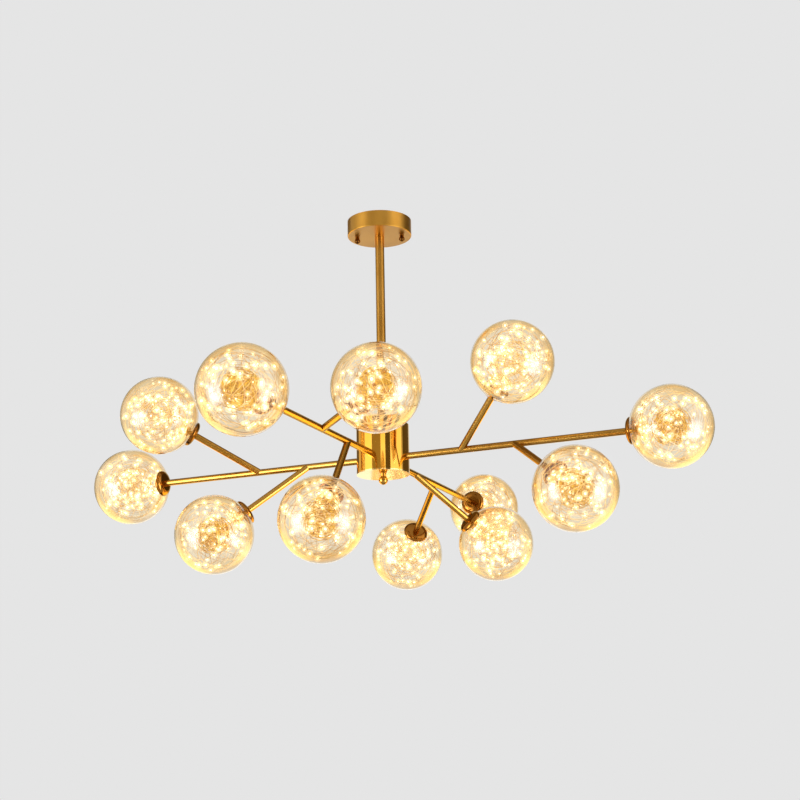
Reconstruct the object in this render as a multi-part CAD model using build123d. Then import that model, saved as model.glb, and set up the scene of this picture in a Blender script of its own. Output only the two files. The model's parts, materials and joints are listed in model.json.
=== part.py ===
"""Globe chandelier: four identical branched arms on a drum hub, hung from a ceiling canopy by a stem.

Each arm carries three clear globes: one at its tip and one on each of two side branches, which stand
a quarter turn apart around the arm. Every globe holds a wire string of small light-emitting beads.
Millimetres and degrees. The origin is the centre of the ceiling face, +Z is up and the ceiling bracket
runs along X, so the whole chandelier lies below Z = 0.
"""

import math
import os

from build123d import *

# Ceiling bracket, its studs and the terminal block that hangs from it
BRACKET_LENGTH = 88.0
BRACKET_WIDTH = 18.0
BRACKET_THICKNESS = 2.0
BRACKET_CABLE_HOLE_D = 10.0
SLOT_SPACING = 46.0
SLOT_LENGTH = 16.0
SLOT_WIDTH = 4.5
TAB_WIDTH = 22.0
TAB_REACH = 28.0
STUD_SPACING = 70.0
STUD_D = 4.0
STUD_HEAD_D = 7.0
STUD_NUT_FLATS = 7.0
STUD_NUT_THICKNESS = 3.2
BLOCK_LENGTH = 20.0
BLOCK_WIDTH = 14.0
BLOCK_HEIGHT = 12.0
BLOCK_EDGE_R = 1.5
BLOCK_WIRE_HOLE_D = 3.6
BLOCK_WIRE_HOLE_DEPTH = 5.0

# Canopy and the ball nuts under it
CANOPY_D = 100.0
CANOPY_HEIGHT = 25.0
CANOPY_WALL = 1.2
CANOPY_EDGE_R = 1.0
BALL_NUT_D = 9.0
BALL_NUT_NECK_D = 6.5
BALL_NUT_NECK_HEIGHT = 2.5

# Stem and its threaded ends
STEM_D = 14.0
STEM_WALL = 1.5
STEM_LENGTH = 305.0
STEM_THREAD_D = 10.0
STEM_THREAD_BORE_D = 7.0
STEM_NUT_FLATS = 17.0
STEM_NUT_THICKNESS = 5.0
STEM_THREAD_SPARE = 2.0

# Drum hub
HUB_D = 80.0
HUB_HEIGHT = 77.0
HUB_WALL = 2.0
HUB_EDGE_R = 1.0
HUB_TOP_TO_ARMS = 52.0
PLATE_THICKNESS = 2.0
PLATE_STEP_HEIGHT = 2.0
STRAP_SPAN = 56.0
STRAP_WIDTH = 10.0
STRAP_THICKNESS = 2.0
STRAP_DROP = 32.0
ROD_D = 6.0
FINIAL_BALL_D = 14.0
FINIAL_NECK_D = 8.0
FINIAL_NECK_HEIGHT = 2.5
DRIVER_LENGTH = 44.0
DRIVER_WIDTH = 30.0
DRIVER_HEIGHT = 18.0
DRIVER_EDGE_R = 2.0
DRIVER_GLAND_D = 8.0
DRIVER_GLAND_HEIGHT = 3.0
SOCKET_D = 16.0
SOCKET_LENGTH = 10.0
ARM_NUT_FLATS = 13.0
ARM_NUT_THICKNESS = 4.0

# Arms: where they point, how each is rolled about its own axis, and where the branches leave
ARM_NAMES = ("right", "rear", "left", "front")
FIRST_ARM_AZIMUTH = -17.0
ARM_ROLL = {"right": 45.0, "rear": -222.0, "left": -143.0, "front": -174.0}
ARM_D = 10.0
ARM_WALL = 1.0
ARM_REACH = 443.0
SPIGOT_D = 8.0
SPIGOT_BORE_D = 5.4
SPIGOT_LENGTH = 7.5
SPIGOT_PLUG_LENGTH = 6.0
INNER_BRANCH_AT = 126.0
OUTER_BRANCH_AT = 210.0
BRANCH_REACH = 179.0
BRANCH_ANGLE = 49.0
BRANCH_QUARTER_TURN = 90.0

# Globes, the cups that hold them and the lampholders inside
GLOBE_D = 120.0
GLOBE_WALL = 2.0
NECK_D = 30.0
NECK_ROOM = 0.6
CUP_D = 40.0
CUP_DEPTH = 7.2
CUP_LIP = 1.0
CUP_BACK_R = 9.0
CUP_FLOOR = 2.2
HOLDER_D = 14.0
HOLDER_FLANGE_D = 20.0
HOLDER_FLANGE_HEIGHT = 2.0
HOLDER_LENGTH = 15.0
HOLDER_CHAMFER = 1.0

# Light strings: a thin ball of the winding's outer shape, and the beads half sunk in it
STRING_ROOM = 4.5
STRING_BALL_WALL = 0.5
STRING_MOUTH_D = 6.0
BEAD_D = 3.2
BEAD_COUNT = 36
BEAD_TOP_SHARE = 0.97
BEAD_BOTTOM_SHARE = -0.8
GOLDEN_ANGLE = 180 * (3 - math.sqrt(5))

# Wiring
LEAD_D = 1.6
LEAD_OFFSET = 1.5
LEAD_BEND_R = 10.0
CABLE_D = 3.2
CABLE_BEND_R = 10.0
JUMPER_D = 4.8
JUMPER_BEND_R = 9.0
JUMPER_STUB = 1.0

# Clearances
THREAD_CLEARANCE = 0.05
HOLE_CLEARANCE = 0.1
GLASS_CLEARANCE = 0.3
SHOULDER_CLEARANCE = 0.1
WELD_CLEARANCE = 0.02
BUTT_CLEARANCE = 0.2

# Levels and lengths worked out from the sizes above
CANOPY_FLOOR_TOP = -CANOPY_HEIGHT + CANOPY_WALL
STEM_TOP_END = CANOPY_FLOOR_TOP + STEM_NUT_THICKNESS + STEM_THREAD_SPARE
HUB_TOP = -CANOPY_HEIGHT - STEM_LENGTH
HUB_INNER_R = HUB_D / 2 - HUB_WALL
HUB_SHELL_BOTTOM = HUB_TOP - HUB_HEIGHT + PLATE_THICKNESS
HUB_BOTTOM = HUB_TOP - HUB_HEIGHT
STRAP_TOP = HUB_TOP - HUB_WALL
STEM_BOTTOM_END = STRAP_TOP - STRAP_THICKNESS - STEM_NUT_THICKNESS - STEM_THREAD_SPARE
STRAP_SEAT = STRAP_TOP - STRAP_THICKNESS - STRAP_DROP
DRIVER_TOP = STRAP_SEAT + DRIVER_HEIGHT
ARM_LEVEL = HUB_TOP - HUB_TOP_TO_ARMS
ARM_INNER_END = HUB_INNER_R - SOCKET_LENGTH - ARM_NUT_THICKNESS - STEM_THREAD_SPARE
GLOBE_R = GLOBE_D / 2
SEAT_R = GLOBE_R + GLASS_CLEARANCE
STANDING = (Align.CENTER, Align.CENTER, Align.MIN)


def sphere_depth(sphere_radius, radius):
    """Distance from a sphere's centre to its circle of the given radius."""
    return math.sqrt(sphere_radius**2 - radius**2)


CUP_RIM = -sphere_depth(SEAT_R, CUP_D / 2)
CUP_BACK = CUP_RIM - CUP_DEPTH
CUP_FLOOR_TOP = CUP_BACK + CUP_FLOOR
NECK_END = CUP_FLOOR_TOP + NECK_ROOM
HOLDER_FRONT = CUP_FLOOR_TOP + HOLDER_LENGTH
SPIGOT_END = CUP_BACK + SPIGOT_LENGTH
STRING_BALL_R = GLOBE_R - GLOBE_WALL - STRING_ROOM


def turned(outline):
    """Solid of revolution about Z from a closed outline of (radius, height) corners."""
    corners = [(radius, 0, height) for radius, height in outline]
    return revolve(make_face(Polyline(*corners, close=True)), Axis.Z)


def tube(radius, bottom, top, bore_radius=0.0):
    """Straight round bar on Z between two heights, bored through if a bore is given."""
    bar = Pos(0, 0, bottom) * Cylinder(radius, top - bottom, align=STANDING)
    if bore_radius:
        bar -= Pos(0, 0, bottom) * Cylinder(bore_radius, top - bottom, align=STANDING)
    return bar


def block(length, width, bottom, top):
    """Rectangular block centred on Z between two heights."""
    return Pos(0, 0, bottom) * Box(length, width, top - bottom, align=STANDING)


def hex_nut(flats, bore_d, bottom, thickness):
    """Hexagon nut on Z, bored to clear its thread."""
    hexagon = extrude(RegularPolygon(flats / 2, 6, major_radius=False), thickness)
    return Pos(0, 0, bottom) * hexagon - tube(bore_d / 2 + THREAD_CLEARANCE, bottom, bottom + thickness)


def wire_along(points, radii, diameter):
    """Round wire along straight runs joined by tangent arcs."""
    path = FilletPolyline(*points, radius=radii)
    start = Plane(origin=path @ 0, z_dir=path % 0)
    return sweep(start * Circle(diameter / 2), path)


def stud_places():
    """Where the two ceiling studs stand, along the bracket."""
    return [Pos(side * STUD_SPACING / 2, 0, 0) for side in (-1, 1)]


def ceiling_bracket():
    """Flat steel bar with two screw slots, a cable hole and a side tab for the terminal block."""
    bar = block(BRACKET_LENGTH, BRACKET_WIDTH, -BRACKET_THICKNESS, 0)
    tab = Pos(0, TAB_REACH / 2, 0) * block(TAB_WIDTH, TAB_REACH, -BRACKET_THICKNESS, 0)
    plate = bar + tab
    plate -= tube(BRACKET_CABLE_HOLE_D / 2, -BRACKET_THICKNESS, 0)
    slot = extrude(SlotOverall(SLOT_LENGTH, SLOT_WIDTH), -BRACKET_THICKNESS)
    for side in (-1, 1):
        plate -= Pos(side * SLOT_SPACING / 2, 0, 0) * slot
    for place in stud_places():
        plate -= place * stud(HOLE_CLEARANCE)
    return plate


def stud(grown=0.0):
    """Countersunk stud that hangs from the bracket down into a ball nut; grown cuts its hole."""
    shank_r = STUD_D / 2 + grown
    head_r = STUD_HEAD_D / 2 + grown
    head_depth = (STUD_HEAD_D - STUD_D) / 2
    tip = -CANOPY_HEIGHT - BALL_NUT_NECK_HEIGHT - BALL_NUT_D / 2
    top = grown - HOLE_CLEARANCE
    head_bottom = -HOLE_CLEARANCE - head_depth
    return turned([(0, top), (head_r, top), (shank_r, head_bottom), (shank_r, tip), (0, tip)])


def terminal_block():
    """Two-way terminal block under the bracket's tab, with its house wire holes facing outwards."""
    body = block(BLOCK_LENGTH, BLOCK_WIDTH, -BRACKET_THICKNESS - BLOCK_HEIGHT, -BRACKET_THICKNESS)
    body = Pos(0, TAB_REACH - BLOCK_WIDTH / 2, 0) * fillet(body.edges().filter_by(Axis.Z), BLOCK_EDGE_R)
    for side in (-1, 1):
        mouth = Plane(origin=(side * BLOCK_LENGTH / 4, TAB_REACH, cable_level()), z_dir=(0, -1, 0))
        body -= mouth * tube(BLOCK_WIRE_HOLE_D / 2, 0, BLOCK_WIRE_HOLE_DEPTH)
    return body


def cable_level():
    """Height at which the supply cable leaves the terminal block."""
    return -BRACKET_THICKNESS - BLOCK_HEIGHT / 2


def canopy():
    """Spun cup against the ceiling, bored for the stem and the two studs."""
    outer_r = CANOPY_D / 2
    inner_r = outer_r - CANOPY_WALL
    shell = tube(outer_r, -CANOPY_HEIGHT, 0)
    shell = fillet(shell.edges().sort_by(Axis.Z)[0], CANOPY_EDGE_R)
    shell -= tube(inner_r, CANOPY_FLOOR_TOP, 0)
    shell -= tube(STEM_THREAD_D / 2 + HOLE_CLEARANCE, -CANOPY_HEIGHT, CANOPY_FLOOR_TOP)
    for place in stud_places():
        shell -= place * tube(STUD_D / 2 + HOLE_CLEARANCE, -CANOPY_HEIGHT, CANOPY_FLOOR_TOP)
    return shell


def ball_nut(ball_d, neck_d, neck_height, thread_d, seat, thread_tip):
    """Turned ball on a short neck, with a blind threaded hole; its neck seats on a face above it."""
    centre = seat - neck_height - sphere_depth(ball_d / 2, neck_d / 2)
    body = Pos(0, 0, centre) * Sphere(ball_d / 2) + tube(neck_d / 2, centre, seat)
    return body - tube(thread_d / 2 + THREAD_CLEARANCE, thread_tip - BUTT_CLEARANCE, seat)


def stem():
    """Hanging tube with a reduced thread at each end."""
    thread_r = STEM_THREAD_D / 2
    body = tube(STEM_D / 2, HUB_TOP, -CANOPY_HEIGHT)
    body += tube(thread_r, -CANOPY_HEIGHT, STEM_TOP_END)
    body += tube(thread_r, STEM_BOTTOM_END, HUB_TOP)
    body -= tube(STEM_THREAD_BORE_D / 2, STEM_BOTTOM_END, STEM_TOP_END)
    plug = STEM_D
    return body - tube(STEM_D / 2 - STEM_WALL, HUB_TOP + plug, -CANOPY_HEIGHT - plug)


def hub_shell(arm_places):
    """Drum with a closed top, bored for the stem and the four arms."""
    shell = tube(HUB_D / 2, HUB_SHELL_BOTTOM, HUB_TOP)
    shell = fillet(shell.edges().sort_by(Axis.Z)[-1], HUB_EDGE_R)
    shell -= tube(HUB_INNER_R, HUB_SHELL_BOTTOM, STRAP_TOP)
    shell -= tube(STEM_THREAD_D / 2 + HOLE_CLEARANCE, STRAP_TOP, HUB_TOP)
    for place in arm_places:
        shell -= place * tube(SPIGOT_D / 2 + HOLE_CLEARANCE, 0, HUB_D)
    return shell


def hub_strap():
    """U of flat strip that hangs inside the hub from the stem and carries the driver and the tie rod."""
    seat_bottom = STRAP_SEAT - STRAP_THICKNESS
    strip = block(STRAP_SPAN, STRAP_WIDTH, seat_bottom, STRAP_TOP)
    window = block(STRAP_SPAN - 2 * STRAP_THICKNESS, STRAP_WIDTH, STRAP_SEAT, STRAP_TOP - STRAP_THICKNESS)
    strip -= window
    strip -= tube(STEM_THREAD_D / 2 + HOLE_CLEARANCE, STRAP_TOP - STRAP_THICKNESS, STRAP_TOP)
    return strip - tube(ROD_D / 2 + THREAD_CLEARANCE, seat_bottom, STRAP_SEAT)


def led_driver():
    """Potted driver box on the strap, with a gland on top for the supply cable."""
    box = block(DRIVER_LENGTH, DRIVER_WIDTH, STRAP_SEAT, DRIVER_TOP)
    box = fillet(box.edges().filter_by(Axis.Z), DRIVER_EDGE_R)
    gland = tube(DRIVER_GLAND_D / 2, DRIVER_TOP, DRIVER_TOP + DRIVER_GLAND_HEIGHT)
    return box + gland - tube(CABLE_D / 2 + HOLE_CLEARANCE, DRIVER_TOP, DRIVER_TOP + DRIVER_GLAND_HEIGHT)


def tie_rod():
    """Threaded rod from the strap down into the finial."""
    tip = HUB_BOTTOM - FINIAL_NECK_HEIGHT - FINIAL_BALL_D / 2
    return tube(ROD_D / 2, tip, STRAP_SEAT - BUTT_CLEARANCE)


def bottom_plate():
    """Flat cover under the hub with a step that locates it inside the drum."""
    disc = tube(HUB_D / 2, HUB_BOTTOM, HUB_SHELL_BOTTOM)
    step_r = HUB_INNER_R - HOLE_CLEARANCE
    disc += tube(step_r, HUB_SHELL_BOTTOM, HUB_SHELL_BOTTOM + PLATE_STEP_HEIGHT)
    disc -= tube(step_r - HUB_WALL, HUB_SHELL_BOTTOM, HUB_SHELL_BOTTOM + PLATE_STEP_HEIGHT)
    return disc - tube(ROD_D / 2 + HOLE_CLEARANCE, HUB_BOTTOM, HUB_SHELL_BOTTOM)


def arm_socket(place):
    """Round boss brazed inside the drum wall, which an arm's spigot turns in."""
    boss = tube(SOCKET_D / 2, HUB_INNER_R - SOCKET_LENGTH, HUB_D / 2, SPIGOT_D / 2 + THREAD_CLEARANCE)
    drum = tube(HUB_INNER_R - WELD_CLEARANCE, HUB_SHELL_BOTTOM, STRAP_TOP)
    return place * boss & drum


def arm_nut():
    """Nut on an arm's spigot, tight against its socket."""
    bottom = HUB_INNER_R - SOCKET_LENGTH - ARM_NUT_THICKNESS
    return hex_nut(ARM_NUT_FLATS, SPIGOT_D, bottom, ARM_NUT_THICKNESS)


def supply_cable():
    """Cable from the terminal block over into the stem and down to the driver."""
    level = cable_level()
    points = [
        (0, TAB_REACH - BLOCK_WIDTH, level),
        (0, 0, level),
        (0, 0, DRIVER_TOP),
    ]
    return wire_along(points, CABLE_BEND_R, CABLE_D)


def hub_jumper(place):
    """Sleeved wires from the mouth of one arm up to the underside of the driver."""
    start = ARM_INNER_END - BUTT_CLEARANCE
    turn = start - JUMPER_STUB - JUMPER_BEND_R
    reach = place.z_dir
    mouth = place.origin + reach * start
    corner = place.origin + reach * turn
    top = Vector(corner.X, corner.Y, STRAP_SEAT)
    return wire_along([mouth, corner, top], JUMPER_BEND_R, JUMPER_D)


def arm_tube():
    """Straight arm along Z from the hub's axis, with a spigot at each end and two side holes for leads."""
    shoulder = HUB_D / 2 + SHOULDER_CLEARANCE
    end = ARM_REACH + CUP_BACK
    body = tube(ARM_D / 2, shoulder, end)
    body += tube(SPIGOT_D / 2, ARM_INNER_END, shoulder)
    body += tube(SPIGOT_D / 2, end, ARM_REACH + SPIGOT_END)
    body -= tube(SPIGOT_BORE_D / 2, ARM_INNER_END, ARM_REACH + SPIGOT_END)
    body -= tube(ARM_D / 2 - ARM_WALL, shoulder + SPIGOT_PLUG_LENGTH, end - SPIGOT_PLUG_LENGTH)
    for place in (branch_place("inner"), branch_place("outer")):
        body -= place * tube(ARM_D / 2 - ARM_WALL, 0, ARM_D * 2)
    return body


def branch_place(name):
    """Frame at a branch's root on the arm's axis, with Z along the branch."""
    at = {"inner": INNER_BRANCH_AT, "outer": OUTER_BRANCH_AT}[name]
    turn = {"inner": 0.0, "outer": BRANCH_QUARTER_TURN}[name]
    lean = math.radians(BRANCH_ANGLE)
    side = Vector(1, 0, 0).rotate(Axis.Z, turn)
    return Plane(
        origin=(0, 0, at),
        z_dir=side * math.sin(lean) + Vector(0, 0, math.cos(lean)),
        x_dir=side * math.cos(lean) - Vector(0, 0, math.sin(lean)),
    )


def branch_tube(name):
    """Side tube coped to the arm, with a spigot at its outer end."""
    end = BRANCH_REACH + CUP_BACK
    body = tube(ARM_D / 2, 0, end) + tube(SPIGOT_D / 2, end, BRANCH_REACH + SPIGOT_END)
    body -= tube(SPIGOT_BORE_D / 2, 0, BRANCH_REACH + SPIGOT_END)
    body -= tube(ARM_D / 2 - ARM_WALL, 0, end - SPIGOT_PLUG_LENGTH)
    return branch_place(name) * body - tube(ARM_D / 2 + WELD_CLEARANCE, 0, ARM_REACH)


def lamp_places():
    """Frames at the three globe centres of one arm, with Z pointing away from the cup."""
    inner = branch_place("inner")
    outer = branch_place("outer")
    return {
        "inner": Plane(inner.origin + inner.z_dir * BRANCH_REACH, x_dir=inner.x_dir, z_dir=inner.z_dir),
        "outer": Plane(outer.origin + outer.z_dir * BRANCH_REACH, x_dir=outer.x_dir, z_dir=outer.z_dir),
        "tip": Plane(origin=(0, 0, ARM_REACH), x_dir=(1, 0, 0), z_dir=(0, 0, 1)),
    }


def arm_leads():
    """Three leads through the arm: one to its tip and one into each branch."""
    start = ARM_INNER_END
    corner_offset = LEAD_OFFSET / math.tan(math.radians(BRANCH_ANGLE))
    leads = []
    for name in ("inner", "outer"):
        place = branch_place(name)
        side = Vector(place.z_dir.X, place.z_dir.Y, 0).normalized() * LEAD_OFFSET
        corner = side + Vector(0, 0, place.origin.Z + corner_offset)
        end = place.origin + place.z_dir * (BRANCH_REACH + SPIGOT_END)
        leads.append(wire_along([side + Vector(0, 0, start), corner, end], LEAD_BEND_R, LEAD_D))
    far_side = Vector(LEAD_OFFSET, 0, 0).rotate(Axis.Z, BRANCH_QUARTER_TURN / 2 + 180)
    straight = tube(LEAD_D / 2, start, ARM_REACH + SPIGOT_END)
    leads.append(Pos(far_side) * straight)
    return leads


def globe():
    """Blown glass ball with a short open neck."""
    inner_r = GLOBE_R - GLOBE_WALL
    neck_outer = NECK_D / 2
    neck_inner = neck_outer - GLOBE_WALL
    outer_foot = (neck_outer, 0, -sphere_depth(GLOBE_R, neck_outer))
    inner_foot = (neck_inner, 0, -sphere_depth(inner_r, neck_inner))
    outline = [
        ThreePointArc((0, 0, GLOBE_R), (GLOBE_R, 0, 0), outer_foot),
        Polyline(outer_foot, (neck_outer, 0, NECK_END), (neck_inner, 0, NECK_END), inner_foot),
        ThreePointArc(inner_foot, (inner_r, 0, 0), (0, 0, inner_r)),
        Line((0, 0, inner_r), (0, 0, GLOBE_R)),
    ]
    return revolve(make_face(outline), Axis.Z)


def cup():
    """Shallow domed cup behind a globe: its rim follows the glass and its bore takes the neck."""
    rim_r = CUP_D / 2
    bore_r = NECK_D / 2 + GLASS_CLEARANCE
    hole_r = SPIGOT_D / 2 + HOLE_CLEARANCE
    rim_inner = -sphere_depth(SEAT_R, bore_r)
    rim_middle_r = (rim_r + bore_r) / 2
    lip_end = CUP_RIM - CUP_LIP
    dome_sizes = (rim_r - CUP_BACK_R, lip_end - CUP_BACK)
    dome = EllipticalCenterArc((CUP_BACK_R, lip_end), *dome_sizes, start_angle=-90, arc_size=90)
    outline = [
        ThreePointArc(
            (rim_r, 0, CUP_RIM),
            (rim_middle_r, 0, -sphere_depth(SEAT_R, rim_middle_r)),
            (bore_r, 0, rim_inner),
        ),
        Polyline(
            (bore_r, 0, rim_inner),
            (bore_r, 0, CUP_FLOOR_TOP),
            (hole_r, 0, CUP_FLOOR_TOP),
            (hole_r, 0, CUP_BACK),
            (CUP_BACK_R, 0, CUP_BACK),
        ),
        Plane.XZ * dome,
        Line((rim_r, 0, lip_end), (rim_r, 0, CUP_RIM)),
    ]
    return revolve(make_face(outline), Axis.Z)


def lampholder():
    """Metal lampholder that screws on the spigot and clamps the cup."""
    body = tube(HOLDER_FLANGE_D / 2, CUP_FLOOR_TOP, CUP_FLOOR_TOP + HOLDER_FLANGE_HEIGHT)
    body += tube(HOLDER_D / 2, CUP_FLOOR_TOP, HOLDER_FRONT)
    body = chamfer(body.edges().sort_by(Axis.Z)[-1], HOLDER_CHAMFER)
    return body - tube(SPIGOT_D / 2 + THREAD_CLEARANCE, CUP_FLOOR_TOP, SPIGOT_END + BUTT_CLEARANCE)


def string_ball():
    """Thin ball that stands for a wound light string, flat and open where it meets the lampholder."""
    inner_r = STRING_BALL_R - STRING_BALL_WALL
    floor_top = HOLDER_FRONT + STRING_BALL_WALL
    outer_edge = sphere_depth(STRING_BALL_R, HOLDER_FRONT)
    inner_edge = sphere_depth(inner_r, floor_top)
    mouth_r = STRING_MOUTH_D / 2
    outline = [
        ThreePointArc((outer_edge, 0, HOLDER_FRONT), (STRING_BALL_R, 0, 0), (0, 0, STRING_BALL_R)),
        Line((0, 0, STRING_BALL_R), (0, 0, inner_r)),
        ThreePointArc((0, 0, inner_r), (inner_r, 0, 0), (inner_edge, 0, floor_top)),
        Polyline(
            (inner_edge, 0, floor_top),
            (mouth_r, 0, floor_top),
            (mouth_r, 0, HOLDER_FRONT),
            (outer_edge, 0, HOLDER_FRONT),
        ),
    ]
    return revolve(make_face(outline), Axis.Z)


def string_beads():
    """Beads spread evenly over the ball, each half sunk in it."""
    beads = []
    for bead in range(BEAD_COUNT):
        share = (bead + 0.5) / BEAD_COUNT
        height = STRING_BALL_R * (BEAD_TOP_SHARE + (BEAD_BOTTOM_SHARE - BEAD_TOP_SHARE) * share)
        spot = Vector(sphere_depth(STRING_BALL_R, height), 0, height)
        beads.append(Pos(spot.rotate(Axis.Z, GOLDEN_ANGLE * bead)) * Sphere(BEAD_D / 2))
    return beads


def arm_place(index, name):
    """Frame of one arm at the hub's axis: Z along the arm, X towards its inner branch."""
    azimuth = math.radians(FIRST_ARM_AZIMUTH + 360 / len(ARM_NAMES) * index)
    reach = Vector(math.cos(azimuth), math.sin(azimuth), 0)
    inner_side = Vector(0, 0, 1).rotate(Axis((0, 0, 0), reach), ARM_ROLL[name])
    return Plane(origin=(0, 0, ARM_LEVEL), x_dir=inner_side, z_dir=reach)


def write(name, *shapes):
    """Writes one named piece, or one group of like pieces."""
    solids = [solid for shape in shapes for solid in shape.solids()]
    export_step(solids[0] if len(solids) == 1 else Compound(children=solids), f"parts/{name}.step")


def write_fixed_pieces(arm_places):
    """The pieces that stay put: everything from the ceiling down to the finial."""
    strap_turn = Rot(0, 0, FIRST_ARM_AZIMUTH + 180 / len(ARM_NAMES))
    stud_tip = -CANOPY_HEIGHT - BALL_NUT_NECK_HEIGHT - BALL_NUT_D / 2
    rod_tip = HUB_BOTTOM - FINIAL_NECK_HEIGHT - FINIAL_BALL_D / 2
    nut_neck = (BALL_NUT_NECK_D, BALL_NUT_NECK_HEIGHT)
    canopy_nut = ball_nut(BALL_NUT_D, *nut_neck, STUD_D, -CANOPY_HEIGHT, stud_tip)
    stud_nut_bottom = -BRACKET_THICKNESS - STUD_NUT_THICKNESS
    stud_nut = hex_nut(STUD_NUT_FLATS, STUD_D, stud_nut_bottom, STUD_NUT_THICKNESS)
    strap_nut_bottom = STRAP_TOP - STRAP_THICKNESS - STEM_NUT_THICKNESS
    write("ceiling_bracket", ceiling_bracket())
    write("bracket_studs", *[place * stud() for place in stud_places()])
    write("bracket_stud_nuts", *[place * stud_nut for place in stud_places()])
    write("ceiling_terminal_block", terminal_block())
    write("canopy", canopy())
    write("canopy_ball_nuts", *[place * canopy_nut for place in stud_places()])
    write("canopy_lock_nut", hex_nut(STEM_NUT_FLATS, STEM_THREAD_D, CANOPY_FLOOR_TOP, STEM_NUT_THICKNESS))
    write("stem", stem())
    write("hub_shell", hub_shell(arm_places))
    write("hub_lock_nut", hex_nut(STEM_NUT_FLATS, STEM_THREAD_D, strap_nut_bottom, STEM_NUT_THICKNESS))
    write("hub_strap", strap_turn * hub_strap())
    write("led_driver", strap_turn * led_driver())
    write("tie_rod", tie_rod())
    write("hub_bottom_plate", bottom_plate())
    finial_neck = (FINIAL_NECK_D, FINIAL_NECK_HEIGHT)
    write("finial", ball_nut(FINIAL_BALL_D, *finial_neck, ROD_D, HUB_BOTTOM, rod_tip))
    write("arm_sockets", *[arm_socket(place) for place in arm_places])
    write("arm_lock_nuts", *[place * arm_nut() for place in arm_places])
    write("supply_cable", supply_cable())
    write("hub_jumpers", *[hub_jumper(place) for place in arm_places])


def write_arms(arm_places):
    """The four arms, each with its branches, cups, lampholders, leads, light strings and globes."""
    straight = arm_tube()
    branches = [branch_tube("inner"), branch_tube("outer")]
    leads = arm_leads()
    lamps = lamp_places()
    one_globe, one_cup, one_holder = globe(), cup(), lampholder()
    ball, beads = string_ball(), string_beads()
    for name, place in zip(ARM_NAMES, arm_places):
        frame = place.location
        lamp_frames = {lamp: frame * lamps[lamp].location for lamp in lamps}
        write(f"{name}_arm_tube", frame * straight)
        write(f"{name}_arm_branches", *[frame * branch for branch in branches])
        write(f"{name}_arm_leads", *[frame * lead for lead in leads])
        write(f"{name}_arm_cups", *[at * one_cup for at in lamp_frames.values()])
        write(f"{name}_arm_lampholders", *[at * one_holder for at in lamp_frames.values()])
        write(f"{name}_arm_light_wires", *[at * ball for at in lamp_frames.values()])
        write(f"{name}_arm_light_beads", *[at * bead for at in lamp_frames.values() for bead in beads])
        for lamp, at in lamp_frames.items():
            write(f"{name}_{lamp}_globe", at * one_globe)


def main():
    """Builds every piece and writes one file for each."""
    os.makedirs("parts", exist_ok=True)
    arm_places = [arm_place(index, name) for index, name in enumerate(ARM_NAMES)]
    write_fixed_pieces(arm_places)
    write_arms(arm_places)


main()
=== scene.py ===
"""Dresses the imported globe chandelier: brass fixture and arms, glass globes and light strings.

Lengths are in metres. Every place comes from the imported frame: each globe turns about its own
joint, and that joint gives the globe's centre and the way its neck points.
"""

from __future__ import annotations

import json
import logging
import math
from dataclasses import dataclass, field
from enum import Enum
from functools import cache
from itertools import product
from typing import Any

import bpy
from mathutils import Matrix, Vector

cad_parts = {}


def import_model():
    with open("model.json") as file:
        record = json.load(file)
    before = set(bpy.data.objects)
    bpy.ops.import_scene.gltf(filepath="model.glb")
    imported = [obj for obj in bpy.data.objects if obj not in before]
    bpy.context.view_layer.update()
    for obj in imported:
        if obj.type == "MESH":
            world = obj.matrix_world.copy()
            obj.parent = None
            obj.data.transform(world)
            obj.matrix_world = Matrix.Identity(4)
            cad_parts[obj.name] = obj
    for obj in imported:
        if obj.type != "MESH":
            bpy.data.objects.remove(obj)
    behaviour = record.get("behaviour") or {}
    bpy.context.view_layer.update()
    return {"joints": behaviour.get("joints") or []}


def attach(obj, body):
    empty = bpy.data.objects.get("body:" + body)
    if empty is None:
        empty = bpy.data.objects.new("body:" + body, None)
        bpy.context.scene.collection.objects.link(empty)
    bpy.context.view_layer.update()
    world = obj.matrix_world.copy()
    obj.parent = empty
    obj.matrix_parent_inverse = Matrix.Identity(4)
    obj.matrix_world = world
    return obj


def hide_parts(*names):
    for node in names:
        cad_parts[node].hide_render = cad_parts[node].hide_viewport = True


LOG = logging.getLogger("chandelier")

Colour = tuple[float, float, float]
Scale = tuple[float, float, float]
Span = tuple[float, float]
Profile = list[tuple[float, float]]


class Lamp(Enum):
    """The three places of a globe on one arm."""

    INNER = "inner"
    OUTER = "outer"
    TIP = "tip"


class ArmSide(Enum):
    """The four arms, by where they point in the photograph's view."""

    RIGHT = "right"
    REAR = "rear"
    LEFT = "left"
    FRONT = "front"


class Packing(Enum):
    """How the middle of a light string is wound.

    ANY stands for every string. A DENSE string is a TIGHT one with more wire at its heart.
    """

    ANY = "any"
    TIGHT = "tight"
    LOOSE = "loose"
    DENSE = "dense"


LOOSE_LAMPS: dict[ArmSide, tuple[Lamp, ...]] = {
    ArmSide.RIGHT: (Lamp.INNER,),
    ArmSide.REAR: (Lamp.INNER, Lamp.OUTER, Lamp.TIP),
    ArmSide.LEFT: (Lamp.OUTER, Lamp.TIP),
    ArmSide.FRONT: (),
}
DENSE_LAMPS: dict[ArmSide, tuple[Lamp, ...]] = {ArmSide.FRONT: (Lamp.OUTER, Lamp.TIP)}


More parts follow.
